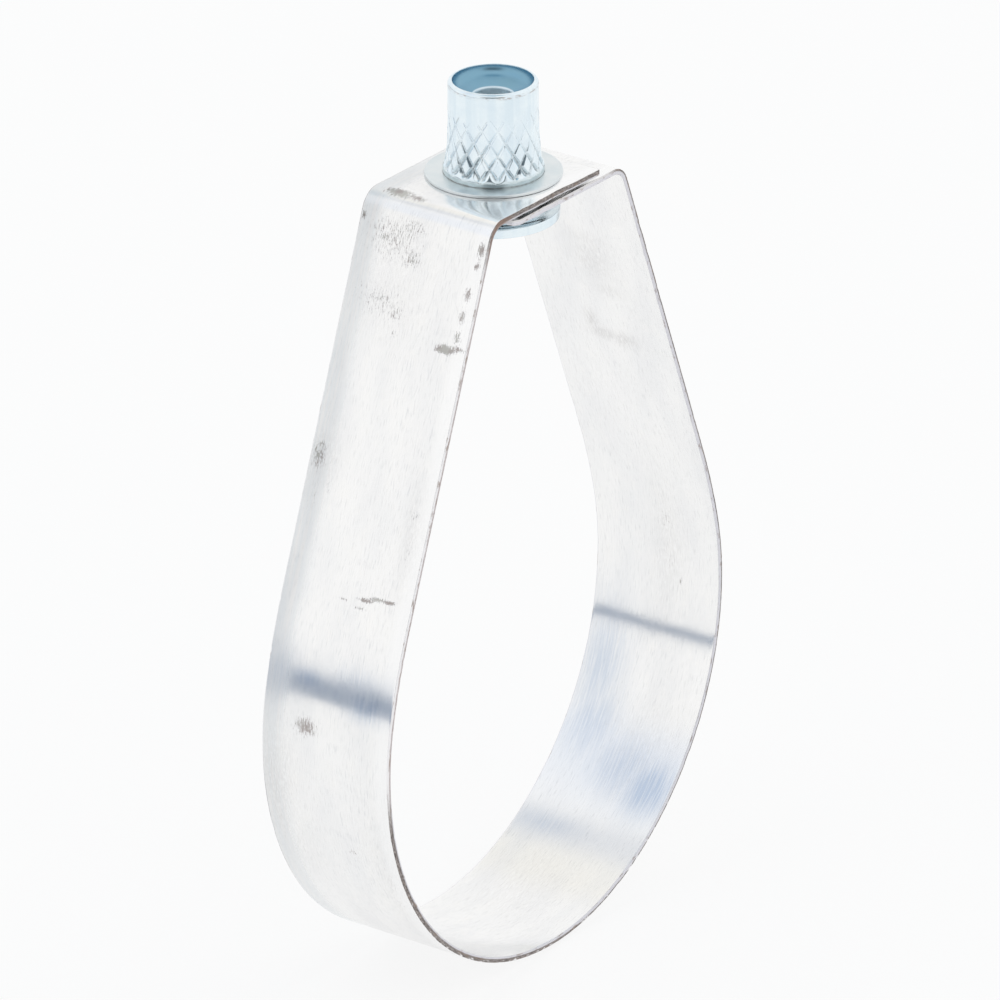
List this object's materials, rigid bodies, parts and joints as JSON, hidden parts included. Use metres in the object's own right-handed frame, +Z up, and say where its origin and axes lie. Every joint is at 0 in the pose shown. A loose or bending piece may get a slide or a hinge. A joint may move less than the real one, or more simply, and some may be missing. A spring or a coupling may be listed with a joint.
{
  "type": "swivel ring hanger",
  "caption": "Teardrop pipe hanger folded from one steel strip, turning on a captive knurled nut that screws onto a threaded rod.",
  "frame": {"origin": "centre of the ring, where the pipe's axis passes, in the middle of the strip's width", "axes": "+Z up along the rod and the nut, +Y along the pipe, and the strip is folded in the XZ plane with the upper strap's leg on the side of negative X"},
  "size_m": [0.123, 0.0318, 0.1925],
  "materials": {
    "galvanized_strip": "rolled galvanized sheet with a fine lengthwise grain and rough sheared edges",
    "bright_zinc": "bright zinc plate with a blue tint"
  },
  "bodies": {
    "nut": {"swivel_nut": "bright_zinc", "retaining_washer": "bright_zinc"},
    "ring": {"band": "galvanized_strip"}
  },
  "joints": [
    {"name": "ring_swivel", "type": "hinge", "parent": "nut", "child": "ring", "pos_m": [0, 0, 0.108], "axis": [0, 0, 1], "continuous": true}
  ]
}
